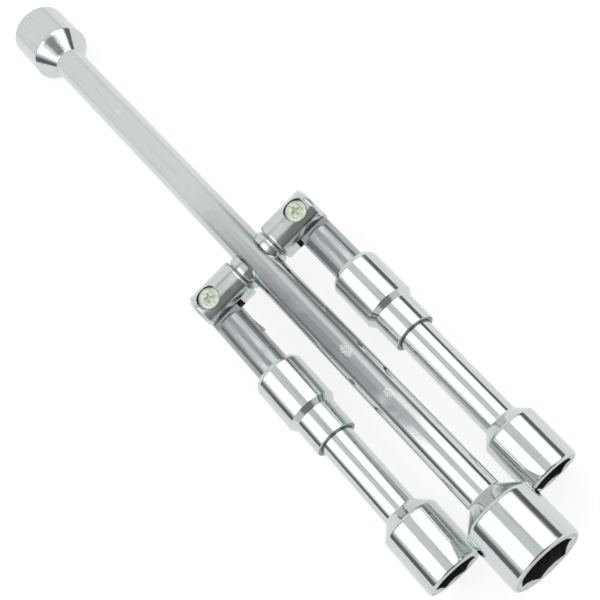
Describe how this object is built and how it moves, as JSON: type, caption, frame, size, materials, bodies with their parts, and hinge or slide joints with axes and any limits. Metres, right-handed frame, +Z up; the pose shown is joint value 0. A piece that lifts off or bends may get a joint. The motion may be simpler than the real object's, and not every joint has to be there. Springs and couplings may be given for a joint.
{
  "type": "lug wrench",
  "caption": "Folding cross lug wrench in chromed steel, folded flat: long bar with a socket at each end and hinged side arms with sliding lock sleeves.",
  "frame": {"origin": "middle of the bounding box's underside, on the surface that the folded wrench lies on", "axes": "+X along the tool from the far socket towards the near socket and the folded arms' mouths, +Y towards the right arm, +Z up"},
  "size_m": [0.3628, 0.0762, 0.0432],
  "materials": {
    "bright_chrome": "bright chrome plate over machined and welded steel, lightly scuffed",
    "yellow_zinc": "pale yellow-green zinc passivate, satin",
    "spring_steel": "plain spring steel, satin"
  },
  "bodies": {
    "frame": {"main_bar": "bright_chrome", "main_socket_near": "bright_chrome", "main_socket_far": "bright_chrome", "left_fork": "bright_chrome", "right_fork": "bright_chrome", "left_root_collar": "bright_chrome", "right_root_collar": "bright_chrome", "left_pivot_screw": "yellow_zinc", "right_pivot_screw": "yellow_zinc", "left_spring_washer": "spring_steel", "right_spring_washer": "spring_steel", "left_pivot_nut": "yellow_zinc", "right_pivot_nut": "yellow_zinc"},
    "left_arm": {"left_arm_rod": "bright_chrome", "left_arm_socket": "bright_chrome", "left_sleeve_catch": "bright_chrome"},
    "right_arm": {"right_arm_rod": "bright_chrome", "right_arm_socket": "bright_chrome", "right_sleeve_catch": "bright_chrome"},
    "left_sleeve": {"left_lock_sleeve": "bright_chrome"},
    "right_sleeve": {"right_lock_sleeve": "bright_chrome"}
  },
  "joints": [
    {"name": "left_arm_fold", "type": "hinge", "parent": "frame", "child": "left_arm", "pos_m": [0.01027, -0.02344, 0.02152], "axis": [-0.0607, 0, -0.9982], "range_deg": [0, 89.2]},
    {"name": "right_arm_fold", "type": "hinge", "parent": "frame", "child": "right_arm", "pos_m": [0.01027, 0.02756, 0.02152], "axis": [0.0668, 0, 0.9978], "range_deg": [0, 91]},
    {"name": "left_sleeve_slide", "type": "slide", "parent": "left_arm", "child": "left_sleeve", "axis": [0.9981, -0.0145, -0.0607], "range_m": [-0.0298, 0.0375]},
    {"name": "right_sleeve_slide", "type": "slide", "parent": "right_arm", "child": "right_sleeve", "axis": [0.9976, -0.0178, -0.0667], "range_m": [-0.0215, 0.0478]}
  ]
}
